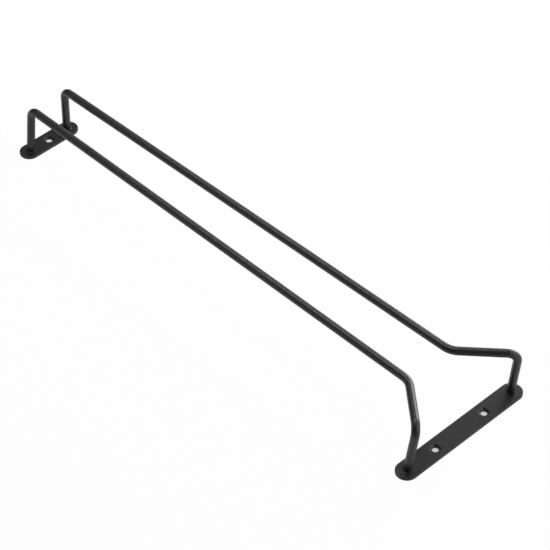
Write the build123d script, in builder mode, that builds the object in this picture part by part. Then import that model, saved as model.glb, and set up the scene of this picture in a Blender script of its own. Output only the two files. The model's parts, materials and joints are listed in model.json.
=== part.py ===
from build123d import *
import os

# Wire stemware rack: two bent rods welded to two flat screw plates, lying on its plates.
# Millimetres, +Z up, mouth of the rack towards -Y, origin on the mounting plane under its middle.

# Wire and strip
rod_diameter = 6.0
front_plate_width = 15.8
rear_plate_width = 15.0
plate_thickness = 2.4
plate_edge_round = 0.4
weld_size = 0.6

# Plates: distance between their middle lines, and strip left beyond the middle of each foot
plate_spacing = 416.6
foot_to_plate_end = 8.7

# Countersunk screw holes
screw_hole_diameter = 4.6
countersink_diameter = 7.4
countersink_angle = 90.0
front_hole_spacing = 47.4

# Rod centrelines: height over the mounting plane, rise to the mouth, and side-to-side spacing
# at each corner and foot
rail_height = 41.5
mouth_rise = 1.2
rear_foot_spacing = 35.3
rear_corner_spacing = 32.0
flare_corner_spacing = 39.7
front_corner_spacing = 98.6
front_foot_spacing = 100.7

# Rod centrelines: how far each corner lies ahead of its foot, and the depth of the flared mouth
rear_lean = 2.3
front_lean = 5.0
flare_depth = 34.6

# Inside radii of the three bends
rear_inside_bend = 4.0
flare_inside_bend = 12.0
front_inside_bend = 3.8

rod_radius = rod_diameter / 2
front_y = -plate_spacing / 2
rear_y = plate_spacing / 2
plate_top = Plane.XY.offset(plate_thickness)


def make_plate(y, width, foot_spacing, hole_places):
    """Flat strip with round ends under one pair of feet, with countersunk holes on its middle line."""
    with BuildPart() as plate:
        with BuildSketch(Plane(origin=(0, y, 0))):
            SlotOverall(foot_spacing + 2 * foot_to_plate_end, width)
        extrude(amount=plate_thickness)
        top_rim = plate.faces().sort_by(Axis.Z)[-1].edges()
        fillet(top_rim, radius=plate_edge_round)
        with Locations([(x, y, plate_thickness) for x in hole_places]):
            CounterSinkHole(
                radius=screw_hole_diameter / 2,
                counter_sink_radius=countersink_diameter / 2,
                counter_sink_angle=countersink_angle,
            )
    return plate


def below_plate_top(foot, corner):
    """Point on the line of a leg, far enough under its foot to be trimmed level with the plate."""
    return foot + (foot - corner).normalized() * rod_diameter


def make_rod(rear_foot, rear_corner, flare_corner, front_corner, front_foot):
    """Round wire with a leg at each end, bent outwards near its front and trimmed flat on the plates."""
    with BuildPart() as rod:
        with BuildLine() as centreline:
            FilletPolyline(
                below_plate_top(rear_foot, rear_corner),
                rear_corner,
                flare_corner,
                front_corner,
                below_plate_top(front_foot, front_corner),
                radius=[
                    rear_inside_bend + rod_radius,
                    flare_inside_bend + rod_radius,
                    front_inside_bend + rod_radius,
                ],
            )
        path = centreline.line
        with BuildSketch(Plane(origin=path @ 0, z_dir=path % 0)):
            Circle(rod_radius)
        sweep(path=path)
        split(bisect_by=plate_top, keep=Keep.TOP)
    return rod


def make_weld(foot, corner):
    """Sloped bead in the corner between a leg and the plate, all the way round the leg's foot."""
    leg = Plane(origin=foot, z_dir=corner - foot)
    root = rod_radius
    with BuildPart() as weld:
        with BuildSketch(Plane(origin=foot, x_dir=leg.x_dir, z_dir=-leg.y_dir)):
            Polygon(
                (rod_radius, weld_size),
                (rod_radius, -root),
                (rod_radius + weld_size + root, -root),
                align=None,
            )
        revolve(axis=Axis(foot, leg.z_dir))
        split(bisect_by=plate_top, keep=Keep.TOP)
    return weld


front_holes = [-front_hole_spacing / 2, front_hole_spacing / 2]
pieces = {
    "front_plate": make_plate(front_y, front_plate_width, front_foot_spacing, front_holes),
    "rear_plate": make_plate(rear_y, rear_plate_width, rear_foot_spacing, [0]),
}
for side_name, side in (("left", -1), ("right", 1)):
    rear_foot = Vector(side * rear_foot_spacing / 2, rear_y, plate_thickness)
    rear_corner = Vector(side * rear_corner_spacing / 2, rear_y - rear_lean, rail_height)
    front_foot = Vector(side * front_foot_spacing / 2, front_y, plate_thickness)
    front_corner = Vector(side * front_corner_spacing / 2, front_y - front_lean, rail_height + mouth_rise)
    flare_corner = Vector(side * flare_corner_spacing / 2, front_corner.Y + flare_depth, rail_height)
    pieces[f"{side_name}_rod"] = make_rod(rear_foot, rear_corner, flare_corner, front_corner, front_foot)
    pieces[f"front_{side_name}_weld"] = make_weld(front_foot, front_corner)
    pieces[f"rear_{side_name}_weld"] = make_weld(rear_foot, rear_corner)

os.makedirs("parts", exist_ok=True)
for name, piece in pieces.items():
    piece.part.label = name
    export_step(piece.part, f"parts/{name}.step")
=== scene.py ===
import json
import math

import bmesh
import bpy
from bpy.props import FloatProperty, FloatVectorProperty, IntProperty, PointerProperty
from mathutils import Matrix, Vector


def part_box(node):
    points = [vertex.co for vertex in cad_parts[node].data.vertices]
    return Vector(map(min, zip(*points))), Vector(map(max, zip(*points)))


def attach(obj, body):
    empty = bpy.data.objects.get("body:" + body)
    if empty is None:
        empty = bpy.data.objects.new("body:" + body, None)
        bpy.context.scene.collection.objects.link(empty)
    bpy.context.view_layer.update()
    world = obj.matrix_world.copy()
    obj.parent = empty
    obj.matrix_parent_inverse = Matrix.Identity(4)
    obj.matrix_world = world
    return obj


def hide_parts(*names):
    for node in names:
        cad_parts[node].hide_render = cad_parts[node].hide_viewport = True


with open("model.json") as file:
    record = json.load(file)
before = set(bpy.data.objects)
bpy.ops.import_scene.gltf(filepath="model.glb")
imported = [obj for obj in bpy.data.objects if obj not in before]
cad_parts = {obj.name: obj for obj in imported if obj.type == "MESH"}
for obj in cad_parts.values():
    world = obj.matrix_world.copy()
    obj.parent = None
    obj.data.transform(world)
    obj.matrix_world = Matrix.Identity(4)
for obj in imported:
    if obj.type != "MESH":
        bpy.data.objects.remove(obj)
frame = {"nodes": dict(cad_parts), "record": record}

bl_info = {
    "name": "Stemware Rack",
    "version": (1, 0, 0),
    "blender": (4, 5, 0),
    "location": "3D View > Sidebar > Rack",
    "description": "Makes a stemware rack's plates and weld beads, coats it and sets its studio",
    "category": "Object",
}

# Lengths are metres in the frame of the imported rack: mouth towards -Y, plates down on z = 0.
MM = 0.001
MERGE_DISTANCE = 0.001 * MM
UP = (0, 0, 1)
QUARTER_TURN = math.pi / 2
HALF_TURN = math.pi
FULL_TURN = 2 * math.pi

# Shaping: profile of a plain round, sharpest fold that a bead is shaded smoothly over, weight that
# keeps the shading of a plate's flat faces flat, and facets round the edge of the floor.
ROUND_PROFILE = 0.5
BEAD_FOLD = math.radians(40)
FLAT_FACE_WEIGHT = 100
FLOOR_FACETS = 96

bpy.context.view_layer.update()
MOUNTS = {mount["name"]: mount for mount in frame["record"]["mounts"]}
BODY = "root"

# Patterns of the coat: range that Blender's noise mostly keeps to, middle of a pattern from 0 to 1,
# and shares of the patterns in the film's thickness and in its bumps.
NOISE_RANGE = (0.3, 0.7)
PATTERN_MIDDLE = 0.5
FILM_CLOUD, FILM_PEEL, FILM_GRAIN = 0.6, 0.25, 0.15
BUMP_PEEL, BUMP_GRAIN = 0.8, 0.2

# Sockets of a Mix node for colours, which share their names with those for other kinds of data.
MIX_FACTOR, MIX_FIRST, MIX_SECOND, MIX_RESULT = 0, 6, 7, 2
WHITE = (1, 1, 1, 1)

# Soft boxes round the rack: azimuth and elevation in degrees, as for the camera, then distance,
# width and height.
SOFT_BOXES = {
    "key": (90, 20, 1.0, 0.7, 0.7),
    "front": (25, 28, 1.1, 1.4, 1.2),
    "top": (175, 72, 1.1, 0.8, 0.8),
    "rim": (130, 25, 1.1, 0.4, 0.4),
    "back": (230, 20, 1.1, 0.8, 0.8),
}


class PlateSizes(bpy.types.PropertyGroup):
    """Edges and holes of the two screw plates. Their outlines come from the frame."""

    edge_round: FloatProperty(
        name="Edge round",
        description="Radius of the plates' outer edges",
        default=0.4 * MM,
        unit="LENGTH",
    )
    rim_depth: FloatProperty(
        name="Rim depth",
        description="Width of the band of regular faces along the plates' outer edges",
        default=0.9 * MM,
        unit="LENGTH",
    )
    countersink_diameter: FloatProperty(
        name="Countersink",
        description="Diameter of each 90 degree countersink at the top of the plate",
        default=7.4 * MM,
        unit="LENGTH",
    )
    lip_round: FloatProperty(
        name="Lip round",
        description="Radius of the coated edges of each hole",
        default=0.2 * MM,
        unit="LENGTH",
    )
    lip_depth: FloatProperty(
        name="Lip depth",
        description="Width of the band of regular faces round each countersink",
        default=0.6 * MM,
        unit="LENGTH",
    )
    round_steps: IntProperty(
        name="Round steps",
        description="Facets across each rounded edge",
        default=5,
        min=1,
    )
    turn_steps: IntProperty(
        name="Turn steps",
        description="Facets along a quarter turn of a plate's end or of a hole",
        default=16,
        min=4,
    )


class BeadSizes(bpy.types.PropertyGroup):
    """Weld beads round the feet of the rods. Their places come from the frame."""

    rod_diameter: FloatProperty(
        name="Rod diameter",
        description="Diameter of the rods that the beads go round",
        default=6.0 * MM,
        unit="LENGTH",
    )
    width: FloatProperty(
        name="Width",
        description="How far the bead reaches up the rod and out over the plate",
        default=0.6 * MM,
        unit="LENGTH",
    )
    hollow: FloatProperty(
        name="Hollow",
        description="Shape of the bead's face: 0.25 is straight, and less is more hollow",
        default=0.14,
        subtype="FACTOR",
        min=0.05,
        max=0.5,
    )
    sink: FloatProperty(
        name="Sink",
        description="How deep the bead's section goes into the rod and into the plate",
        default=0.5 * MM,
        unit="LENGTH",
    )
    ripple_height: FloatProperty(
        name="Ripple height",
        description="Height of the uneven ripples on the bead",
        default=0.12 * MM,
        unit="LENGTH",
    )
    ripple_size: FloatProperty(
        name="Ripple size",
        description="Distance from one ripple of the bead to the next",
        default=1.8 * MM,
        unit="LENGTH",
    )
    section_steps: IntProperty(
        name="Section steps",
        description="Facets across the face of the bead",
        default=10,
        min=2,
    )
    turn_steps: IntProperty(
        name="Turn steps",
        description="Facets round the foot of a rod",
        default=96,
        min=12,
    )


class CoatFinish(bpy.types.PropertyGroup):
    """Satin black powder coat that covers the whole rack."""

    colour: FloatVectorProperty(
        name="Colour",
        description="Colour of the coat where its film is thick",
        default=(0.007, 0.007, 0.0073),
        subtype="COLOR",
        min=0,
        max=1,
    )
    thin_colour: FloatVectorProperty(
        name="Thin colour",
        description="Colour of the coat where its film is thin",
        default=(0.012, 0.012, 0.0124),
        subtype="COLOR",
        min=0,
        max=1,
    )
    roughness: FloatProperty(
        name="Roughness",
        description="Middle roughness of the satin film",
        default=0.45,
        subtype="FACTOR",
        min=0,
        max=1,
    )
    roughness_spread: FloatProperty(
        name="Roughness spread",
        description="How much the roughness changes over the film",
        default=0.1,
        subtype="FACTOR",
        min=0,
        max=1,
    )
    film_shine: FloatProperty(
        name="Film shine",
        description="Strength of the film's own broad shine, where 0.5 is a plain plastic's",
        default=0.32,
        subtype="FACTOR",
        min=0,
        max=1,
    )
    skin: FloatProperty(
        name="Skin",
        description="Share of the smooth skin that the powder forms where it flows together",
        default=0.42,
        subtype="FACTOR",
        min=0,
        max=1,
    )
    skin_spread: FloatProperty(
        name="Skin spread",
        description="How much the share of the smooth skin changes over the film",
        default=0.4,
        subtype="FACTOR",
        min=0,
        max=1,
    )
    skin_roughness: FloatProperty(
        name="Skin roughness",
        description="Roughness of the smooth skin",
        default=0.24,
        subtype="FACTOR",
        min=0,
        max=1,
    )
    peel_size: FloatProperty(
        name="Peel size",
        description="Distance from one wave of the orange peel to the next",
        default=1.8 * MM,
        unit="LENGTH",
    )
    peel_height: FloatProperty(
        name="Peel height",
        description="Height of the waves of the orange peel",
        default=0.02 * MM,
        unit="LENGTH",
    )
    grain_size: FloatProperty(
        name="Grain size",
        description="Size of the fine grain of the powder",
        default=0.22 * MM,
        unit="LENGTH",
    )
    cloud_size: FloatProperty(
        name="Cloud size",
        description="Size of the thicker and thinner patches of the film",
        default=24 * MM,
        unit="LENGTH",
    )


class StageLook(bpy.types.PropertyGroup):
    """Camera, lamps and floor."""

    azimuth: FloatProperty(
        name="Azimuth",
        description="Side that the camera stands on: 0 looks along +Y, less is further left",
        default=math.radians(-44.3675),
        subtype="ANGLE",
    )
    elevation: FloatProperty(
        name="Elevation",
        description="Angle of the camera above the floor",
        default=math.radians(43.2588),
        subtype="ANGLE",
    )
    distance: FloatProperty(
        name="Distance",
        description="Distance of the camera from the point that it looks at",
        default=1.8066,
        unit="LENGTH",
    )
    aim: FloatVectorProperty(
        name="Aim",
        description="Point that the camera looks at",
        default=(-0.5 * MM, -33.43 * MM, 26.0 * MM),
        subtype="TRANSLATION",
        unit="LENGTH",
    )
    lens: FloatProperty(
        name="Lens",
        description="Focal length of the camera, in millimetres",
        default=170.94,
        subtype="DISTANCE_CAMERA",
    )
    key: FloatProperty(
        name="Key",
        description="Brightness of the large soft box at the right, where 1 is white",
        default=5.3,
    )
    front: FloatProperty(
        name="Front",
        description="Brightness of the large soft box in front of the mouth, where 1 is white",
        default=1.35,
    )
    top: FloatProperty(
        name="Top",
        description="Brightness of the large soft box above the rear end, where 1 is white",
        default=2.55,
    )
    rim: FloatProperty(
        name="Rim",
        description="Brightness of the small soft box behind at the right, where 1 is white",
        default=1.3,
    )
    back: FloatProperty(
        name="Back",
        description="Brightness of the large soft box behind at the left, where 1 is white",
        default=0.4,
    )
    room: FloatProperty(
        name="Room",
        description="Brightness of the even light from all round, where 1 is white",
        default=0.1,
    )
    floor_radius: FloatProperty(
        name="Floor radius",
        description="Radius of the floor",
        default=5,
        unit="LENGTH",
    )
    floor_gap: FloatProperty(
        name="Floor gap",
        description="Gap between the floor and the plates' undersides",
        default=0.05 * MM,
        unit="LENGTH",
    )
    floor_colour: FloatVectorProperty(
        name="Floor colour",
        description="Colour of the paint on the floor",
        default=(0.85, 0.85, 0.85),
        subtype="COLOR",
        min=0,
        max=1,
    )
    floor_white: FloatProperty(
        name="Floor white",
        description="Share of plain white in the floor where it is looked at",
        default=0.96,
        subtype="FACTOR",
        min=0,
        max=1,
    )
    # Painted shade under the screw holes: a low white share there darkens the floor seen through
    # the holes.
    painted_hole_shade_white: FloatProperty(
        name="Hole white",
        description="Share of plain white in the floor where it is looked at through a screw hole",
        default=0.3,
        subtype="FACTOR",
        min=0,
        max=1,
    )
    gloss_white: FloatProperty(
        name="Gloss white",
        description="Share of plain white that the rack's gloss shows of the floor and the room",
        default=0.03,
        subtype="FACTOR",
        min=0,
        max=1,
    )


class Socket:
    """Output of a node. Arithmetic on it adds Math nodes to the same tree."""

    def __init__(self, output):
        self.output = output
        self.tree = output.id_data

    @classmethod
    def add(cls, tree, kind, settings=None, inputs=None, output=0):
        """Adds a node: first its settings, then the values or links of its sockets."""
        node = tree.nodes.new(kind)
        for name, setting in (settings or {}).items():
            setattr(node, name, setting)
        for name, value in (inputs or {}).items():
            if isinstance(value, Socket):
                tree.links.new(value.output, node.inputs[name])
            else:
                node.inputs[name].default_value = value
        return cls(node.outputs[output]) if node.outputs else None

    def math(self, operation, first, second):
        """Adds a Math node on two values or outputs."""
        settings, inputs = {"operation": operation}, {0: first, 1: second}
        return Socket.add(self.tree, "ShaderNodeMath", settings, inputs)

    def __add__(self, other):
        return self.math("ADD", self, other)

    def __radd__(self, other):
        return self.math("ADD", other, self)

    def __sub__(self, other):
        return self.math("SUBTRACT", self, other)

    def __rsub__(self, other):
        return self.math("SUBTRACT", other, self)

    def __mul__(self, other):
        return self.math("MULTIPLY", self, other)

    def __rmul__(self, other):
        return self.math("MULTIPLY", other, self)

    def __lt__(self, other):
        return self.math("LESS_THAN", self, other)

    def __gt__(self, other):
        return self.math("GREATER_THAN", self, other)

    def __or__(self, other):
        return self.math("MAXIMUM", self, other)

    def __ror__(self, other):
        return self.math("MAXIMUM", other, self)


def empty_tree(owner):
    """Node tree of a material or world, with no nodes in it."""
    owner.use_nodes = True
    owner.node_tree.nodes.clear()
    return owner.node_tree


def waves(tree, place, size, detail):
    """Soft noise from 0 to 1 whose waves are about one size apart."""
    inputs = {"Vector": place, "Scale": 1 / size, "Detail": detail}
    noise = Socket.add(tree, "ShaderNodeTexNoise", inputs=inputs)
    lowest, highest = NOISE_RANGE
    inputs = {"Value": noise, "From Min": lowest, "From Max": highest}
    return Socket.add(tree, "ShaderNodeMapRange", inputs=inputs)


def mix_colours(tree, factor, first, second):
    """Colour that goes from the first colour to the second as the factor goes from 0 to 1."""
    inputs = {MIX_FACTOR: factor, MIX_FIRST: (*first, 1), MIX_SECOND: (*second, 1)}
    return Socket.add(tree, "ShaderNodeMix", {"data_type": "RGBA"}, inputs, MIX_RESULT)


def mix_shaders(tree, factor, first, second):
    """Shader that goes from the first shader to the second as the factor goes from 0 to 1."""
    return Socket.add(tree, "ShaderNodeMixShader", inputs={0: factor, 1: first, 2: second})


def coat():
    """Satin black powder coat: orange peel and grain on a film of uneven thickness."""
    name = "satin_black_coat"
    if name in bpy.data.materials:
        return bpy.data.materials[name]
    finish = bpy.context.scene.rack_coat
    material = bpy.data.materials.new(name)
    tree = empty_tree(material)
    place = Socket.add(tree, "ShaderNodeTexCoord", output="Object")
    peel = waves(tree, place, finish.peel_size, detail=1)
    grain = waves(tree, place, finish.grain_size, detail=2)
    cloud = waves(tree, place, finish.cloud_size, detail=3)
    film = FILM_CLOUD * cloud + FILM_PEEL * peel + FILM_GRAIN * grain
    uneven = 0.5 * cloud + 0.5 * grain - PATTERN_MIDDLE
    bumps = {"Height": BUMP_PEEL * peel + BUMP_GRAIN * grain, "Distance": finish.peel_height}
    look = {
        "Base Color": mix_colours(tree, film, finish.thin_colour, finish.colour),
        "Roughness": finish.roughness + finish.roughness_spread * uneven,
        "Normal": Socket.add(tree, "ShaderNodeBump", inputs=bumps),
        "Specular IOR Level": finish.film_shine,
        "Coat Weight": finish.skin + finish.skin_spread * (peel - PATTERN_MIDDLE),
        "Coat Roughness": finish.skin_roughness,
    }
    shader = Socket.add(tree, "ShaderNodeBsdfPrincipled", inputs=look)
    Socket.add(tree, "ShaderNodeOutputMaterial", inputs={"Surface": shader})
    return material


def looked_at(tree, look):
    """1 for rays from the camera or through something clear, a share for a gloss, else 0."""
    rays = ("Is Camera Ray", "Is Transmission Ray", "Is Glossy Ray")
    camera, clear, gloss = [Socket.add(tree, "ShaderNodeLightPath", output=ray) for ray in rays]
    return camera | clear | look.gloss_white * gloss


def hole_places():
    """Middles of the screw holes at floor level: the front plate's two, then the rear plate's."""
    pair, single = MOUNTS["front_screws"], MOUNTS["rear_screw"]
    aside = pair["dims"]["spacing_x_mm"] / 2 * MM
    middle_x, front_y, _ = pair["pos_m"]
    rear_x, rear_y, _ = single["pos_m"]
    return (middle_x - aside, front_y, 0), (middle_x + aside, front_y, 0), (rear_x, rear_y, 0)


def painted_hole_shade_mask(tree, place, reach):
    """Painted shade mask: 1 on the floor within reach of the middle of a screw hole, where the
    floor is darkened, else 0.
    """
    inside = 0
    for hole in hole_places():
        ends = {0: place, 1: hole}
        away = Socket.add(tree, "ShaderNodeVectorMath", {"operation": "DISTANCE"}, ends, "Value")
        inside = inside | (away < reach)
    return inside


def floor_paint(look):
    """Pale paint, white where it is looked at, with a trace of the lamps' shadow left in it, and
    painted shade under the screw holes, where far less white is kept.
    """
    material = bpy.data.materials.new("pale_floor")
    tree = empty_tree(material)
    place = Socket.add(tree, "ShaderNodeTexCoord", output="Object")
    paint = Socket.add(tree, "ShaderNodeBsdfDiffuse", inputs={"Color": (*look.floor_colour, 1)})
    white = Socket.add(tree, "ShaderNodeEmission", inputs={"Strength": 1})
    # Painted shade: under the screw holes the white share drops to the hole share, so the floor
    # there is darker at any light, and more of the lamps' real shade shows.
    hole = painted_hole_shade_mask(tree, place, bpy.context.scene.rack_plates.countersink_diameter)
    share = look.floor_white - (look.floor_white - look.painted_hole_shade_white) * hole
    shader = mix_shaders(tree, share * looked_at(tree, look), paint, white)
    Socket.add(tree, "ShaderNodeOutputMaterial", inputs={"Surface": shader})
    return material


def deselect_all():
    """Leaves nothing selected, so that an operator acts on the next primitive alone."""
    bpy.ops.object.select_all(action="DESELECT")


def start_edit(name):
    """Names the new primitive, puts its place in its mesh and opens it for editing."""
    piece = bpy.context.object
    piece.name = name
    piece.data.name = name
    bpy.ops.object.transform_apply(location=True, rotation=True, scale=True)
    bpy.ops.object.mode_set(mode="EDIT")
    bpy.ops.mesh.select_mode(type="VERT")
    return piece


def pick(piece, test):
    """Selects just the vertices whose place passes a test."""
    shape = bmesh.from_edit_mesh(piece.data)
    for vertex in shape.verts:
        vertex.select_set(test(vertex.co))
    shape.select_flush_mode()
    bmesh.update_edit_mesh(piece.data)


def pick_open_edges(piece, test):
    """Selects just the edges with a face on one side only whose middle passes a test."""
    bpy.ops.mesh.select_all(action="DESELECT")
    shape = bmesh.from_edit_mesh(piece.data)
    for edge in shape.edges:
        middle = (edge.verts[0].co + edge.verts[1].co) / 2
        edge.select_set(edge.is_boundary and test(middle))
    bmesh.update_edit_mesh(piece.data)


def turn(centre, angle, steps):
    """Carries the selected edges round an upright axis, to the left seen from above."""
    bpy.ops.mesh.spin(steps=steps, angle=-angle, center=centre, axis=UP)


def move_on(distance):
    """Carries the selected edges straight along X."""
    bpy.ops.mesh.extrude_region_move(TRANSFORM_OT_translate={"value": (distance, 0, 0)})


def add_section(inner, outer, middle_y, base, height):
    """Adds an upright rectangle between two distances along X, standing on a level."""
    place = ((inner + outer) / 2, middle_y, base + height / 2)
    bpy.ops.mesh.primitive_plane_add(size=1, location=place, rotation=(QUARTER_TURN, 0, 0))
    bpy.ops.transform.resize(value=(outer - inner, 1, height), center_override=place)


def near(first, second):
    """Tells whether two lengths are the same."""
    return abs(first - second) < MERGE_DISTANCE


def round_corners(piece, test, radius, steps, profile=ROUND_PROFILE):
    """Rounds the corners of a section that pass a test, or hollows them with a low profile."""
    pick(piece, test)
    bpy.ops.mesh.bevel(offset=radius, segments=steps, profile=profile, affect="VERTICES")


def open_section(piece, test, side_x):
    """Takes the face of a section away, and its upright side at one distance along X."""
    pick(piece, test)
    bpy.ops.mesh.delete(type="ONLY_FACE")
    pick(piece, lambda place: test(place) and near(place.x, side_x))
    bpy.ops.mesh.delete(type="EDGE")
    pick(piece, test)


def merge_and_face_out():
    """Joins vertices that lie on each other, and turns every face outwards."""
    bpy.ops.mesh.select_all(action="SELECT")
    bpy.ops.mesh.remove_doubles(threshold=MERGE_DISTANCE)
    bpy.ops.mesh.normals_make_consistent(inside=False)


def smooth(piece):
    """Shades a piece smoothly, with flat faces kept flat up to their rounded edges."""
    bpy.ops.object.shade_smooth()
    bpy.ops.object.modifier_add(type="WEIGHTED_NORMAL")
    weighted = piece.modifiers[-1]
    weighted.weight = FLAT_FACE_WEIGHT
    bpy.ops.object.modifier_apply(modifier=weighted.name)


def dress(piece, *nodes):
    """Coats a piece that stands for CAD nodes, and lets it ride with the rack."""
    piece.data.materials.clear()
    piece.data.materials.append(coat())
    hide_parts(*nodes)
    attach(piece, BODY)


def make_rim(node, sizes):
    """Rounded rim of a strip with round ends, along the outline of a plate's CAD node."""
    lowest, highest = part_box(node)
    middle_y = (lowest.y + highest.y) / 2
    half_width = (highest.y - lowest.y) / 2
    run = highest.x - half_width
    deselect_all()
    add_section(highest.x - sizes.rim_depth, highest.x, middle_y, 0, highest.z)
    piece = start_edit(node.replace("plate", "screw_plate"))

    def outer_corner(place):
        return near(place.x, highest.x)

    round_corners(piece, outer_corner, sizes.edge_round, sizes.round_steps)
    open_section(piece, lambda place: True, highest.x - sizes.rim_depth)
    right, left = (run, middle_y, 0), (-run, middle_y, 0)
    turn(right, QUARTER_TURN, sizes.turn_steps)
    move_on(-2 * run)
    turn(left, HALF_TURN, 2 * sizes.turn_steps)
    move_on(2 * run)
    turn(right, QUARTER_TURN, sizes.turn_steps)
    return piece


def make_hole(piece, hole_x, hole_radius, middle_y, thickness, sizes):
    """Wall of a countersunk hole, with a ring of flat faces round it at the top and the bottom."""
    sink_radius = sizes.countersink_diameter / 2
    ring = hole_x + sink_radius + sizes.lip_depth
    wall = hole_x + hole_radius

    def in_section(place):
        return wall - MERGE_DISTANCE < place.x < ring + MERGE_DISTANCE and near(place.y, middle_y)

    bpy.ops.mesh.select_all(action="DESELECT")
    add_section(wall, ring, middle_y, 0, thickness)

    def top_corner(place):
        return near(place.x, wall) and near(place.z, thickness)

    round_corners(piece, top_corner, sink_radius - hole_radius, 1)

    def hole_edge(place):
        return in_section(place) and not near(place.x, ring)

    round_corners(piece, hole_edge, sizes.lip_round, sizes.round_steps)
    open_section(piece, in_section, ring)
    turn((hole_x, middle_y, 0), FULL_TURN, 4 * sizes.turn_steps)


def make_plate(node, holes, hole_radius):
    """Flat strip with round ends and countersunk holes, softened at every edge as under a coat."""
    sizes = bpy.context.scene.rack_plates
    lowest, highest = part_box(node)
    middle_y = (lowest.y + highest.y) / 2
    piece = make_rim(node, sizes)
    for hole_x, _, _ in holes:
        make_hole(piece, hole_x, hole_radius, middle_y, highest.z, sizes)
    merge_and_face_out()
    for level in (lowest.z, highest.z):
        pick_open_edges(piece, lambda middle: near(middle.z, level))
        bpy.ops.mesh.fill(use_beauty=True)
    merge_and_face_out()
    bpy.ops.object.mode_set(mode="OBJECT")
    smooth(piece)
    dress(piece, node)


def foot_of(node):
    """Middle of a rod's foot on its plate, from the CAD node of its weld."""
    lowest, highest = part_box(node)
    foot = (lowest + highest) / 2
    foot.z = lowest.z
    return foot


def ripple(piece, sizes):
    """Raises uneven ripples on a bead."""
    pattern = bpy.data.textures.new("bead_ripples", "CLOUDS")
    pattern.noise_scale = sizes.ripple_size
    bpy.ops.object.modifier_add(type="DISPLACE")
    raised = piece.modifiers[-1]
    raised.texture = pattern
    raised.texture_coords = "LOCAL"
    raised.strength = sizes.ripple_height
    bpy.ops.object.modifier_apply(modifier=raised.name)


def make_bead(name, foot, sizes):
    """Uneven weld bead with a hollow face round the foot of a rod."""
    rod_side = foot.x + sizes.rod_diameter / 2
    outer, top = rod_side + sizes.width, foot.z + sizes.width
    deselect_all()
    add_section(rod_side - sizes.sink, outer, foot.y, foot.z - sizes.sink, sizes.width + sizes.sink)
    piece = start_edit(name)

    def bare_corner(place):
        return near(place.x, outer) and near(place.z, top)

    round_corners(piece, bare_corner, sizes.width, sizes.section_steps, sizes.hollow)
    bpy.ops.mesh.select_all(action="SELECT")
    bpy.ops.mesh.delete(type="ONLY_FACE")
    bpy.ops.mesh.select_all(action="SELECT")
    turn(foot, FULL_TURN, sizes.turn_steps)
    merge_and_face_out()
    bpy.ops.object.mode_set(mode="OBJECT")
    ripple(piece, sizes)
    bpy.ops.object.shade_smooth_by_angle(angle=BEAD_FOLD)
    return piece


def copy_bead(bead, name, foot, new_foot, angle):
    """Copy of a bead with its own mesh, carried to another foot and turned so that it looks new."""
    deselect_all()
    bead.select_set(True)
    bpy.context.view_layer.objects.active = bead
    bpy.ops.object.duplicate(linked=False)
    piece = bpy.context.object
    piece.name = name
    piece.data.name = name
    bpy.ops.transform.translate(value=new_foot - foot)
    bpy.ops.transform.rotate(value=angle, orient_axis="Z", center_override=new_foot)
    bpy.ops.object.transform_apply(location=True, rotation=True, scale=False)
    return piece


def aim_at(place, target):
    """Turn that points a camera or a lamp at a target."""
    return (Vector(target) - Vector(place)).to_track_quat("-Z", "Y").to_euler()


def place_round(target, azimuth, elevation, distance):
    """Place at a distance from a target. Azimuth 0 is before the mouth, 90 degrees at its right."""
    aside = math.cos(elevation)
    way = Vector((math.sin(azimuth) * aside, -math.cos(azimuth) * aside, math.sin(elevation)))
    return Vector(target) + distance * way


def add_camera(look):
    """Camera at the photograph's place, without depth of field."""
    place = place_round(look.aim, look.azimuth, look.elevation, look.distance)
    bpy.ops.object.camera_add(location=place, rotation=aim_at(place, look.aim))
    camera = bpy.context.object
    camera.data.lens = look.lens
    bpy.context.scene.camera = camera


def add_soft_box(name, brightness):
    """Soft box that shines at the middle of the rack."""
    azimuth, elevation, distance, width, height = SOFT_BOXES[name]
    middle = (0, 0, 0)
    place = place_round(middle, math.radians(azimuth), math.radians(elevation), distance)
    bpy.ops.object.light_add(type="AREA", location=place, rotation=aim_at(place, middle))
    lamp = bpy.context.object
    lamp.name = name
    lamp.data.shape = "RECTANGLE"
    lamp.data.size = width
    lamp.data.size_y = height
    lamp.data.energy = brightness * math.pi * width * height


def add_floor(look):
    """Round pale floor just under the plates."""
    bpy.ops.mesh.primitive_circle_add(
        vertices=FLOOR_FACETS,
        radius=look.floor_radius,
        fill_type="NGON",
        location=(0, 0, -look.floor_gap),
    )
    floor = start_edit("floor")
    bpy.ops.object.mode_set(mode="OBJECT")
    floor.data.materials.append(floor_paint(look))


def light_room(look):
    """Even grey light from all round, white where the camera looks past the floor."""
    world = bpy.data.worlds.new("studio")
    bpy.context.scene.world = world
    tree = empty_tree(world)
    room, white = [
        Socket.add(tree, "ShaderNodeBackground", inputs={"Color": WHITE, "Strength": level})
        for level in (look.room, 1)
    ]
    shader = mix_shaders(tree, looked_at(tree, look), room, white)
    Socket.add(tree, "ShaderNodeOutputWorld", inputs={"Surface": shader})


class RACK_OT_make_plates(bpy.types.Operator):
    """Make the front and rear screw plates with soft edges and countersunk holes"""

    bl_idname = "rack.make_plates"
    bl_label = "Screw Plates"

    def execute(self, context):
        pair, single = MOUNTS["front_screws"]["dims"], MOUNTS["rear_screw"]["dims"]
        front_left, front_right, rear = hole_places()
        make_plate("front_plate", (front_left, front_right), pair["hole_r_mm"] * MM)
        make_plate("rear_plate", (rear,), single["r_mm"] * MM)
        return {"FINISHED"}


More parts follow.
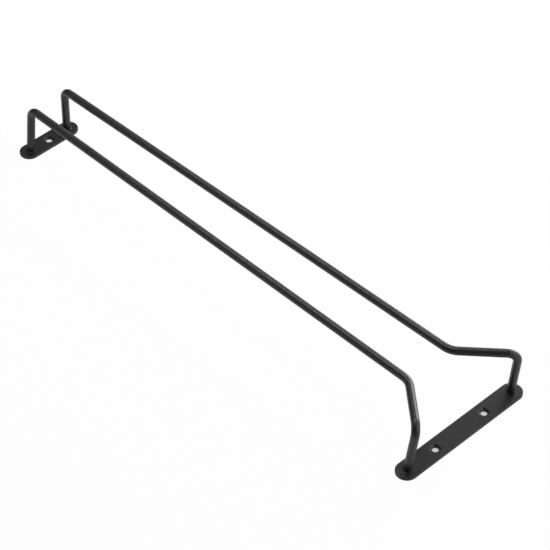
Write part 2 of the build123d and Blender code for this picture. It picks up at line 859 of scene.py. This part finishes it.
class RACK_OT_make_beads(bpy.types.Operator):
    """Make the weld beads round the four feet of the rods"""

    bl_idname = "rack.make_beads"
    bl_label = "Weld Beads"

    def execute(self, context):
        sizes = context.scene.rack_beads
        welds = ("front_left_weld", "front_right_weld", "rear_left_weld", "rear_right_weld")
        names = [weld.replace("weld", "bead") for weld in welds]
        feet = [foot_of(weld) for weld in welds]
        beads = [make_bead(names[0], feet[0], sizes)]
        for turns in range(1, len(welds)):
            angle = turns * QUARTER_TURN
            beads.append(copy_bead(beads[0], names[turns], feet[0], feet[turns], angle))
        for bead, weld in zip(beads, welds):
            dress(bead, weld)
        return {"FINISHED"}


class RACK_OT_coat_rods(bpy.types.Operator):
    """Coat the two bent rods"""

    bl_idname = "rack.coat_rods"
    bl_label = "Coat the Rods"

    def execute(self, context):
        for node in ("left_rod", "right_rod"):
            for slot in frame["nodes"][node].material_slots:
                slot.material = coat()
        return {"FINISHED"}


class RACK_OT_set_stage(bpy.types.Operator):
    """Set the pale floor, the soft studio light and the camera"""

    bl_idname = "rack.set_stage"
    bl_label = "Studio Stage"

    def execute(self, context):
        look = context.scene.rack_stage
        context.scene.view_settings.view_transform = "Standard"
        deselect_all()
        add_floor(look)
        light_room(look)
        for name in SOFT_BOXES:
            add_soft_box(name, getattr(look, name))
        add_camera(look)
        return {"FINISHED"}


STEPS = (RACK_OT_make_plates, RACK_OT_make_beads, RACK_OT_coat_rods, RACK_OT_set_stage)
GROUPS = {
    "rack_plates": PlateSizes,
    "rack_beads": BeadSizes,
    "rack_coat": CoatFinish,
    "rack_stage": StageLook,
}


class RACK_PT_sidebar(bpy.types.Panel):
    """Steps and sizes of the rack"""

    bl_label = "Stemware Rack"
    bl_space_type = "VIEW_3D"
    bl_region_type = "UI"
    bl_category = "Rack"

    def draw(self, context):
        for step in STEPS:
            self.layout.operator(step.bl_idname)
        for group in GROUPS:
            box = self.layout.box()
            values = getattr(context.scene, group)
            for name in values.bl_rna.properties.keys():
                if name not in ("rna_type", "name"):
                    box.prop(values, name)


def register():
    for group, kind in GROUPS.items():
        bpy.utils.register_class(kind)
        setattr(bpy.types.Scene, group, PointerProperty(type=kind))
    for kind in (*STEPS, RACK_PT_sidebar):
        bpy.utils.register_class(kind)


def unregister():
    for kind in (RACK_PT_sidebar, *reversed(STEPS)):
        bpy.utils.unregister_class(kind)
    for group, kind in reversed(GROUPS.items()):
        delattr(bpy.types.Scene, group)
        bpy.utils.unregister_class(kind)


def main():
    register()
    bpy.ops.rack.make_plates()
    bpy.ops.rack.make_beads()
    bpy.ops.rack.coat_rods()
    bpy.ops.rack.set_stage()


if __name__ == "__main__":
    main()
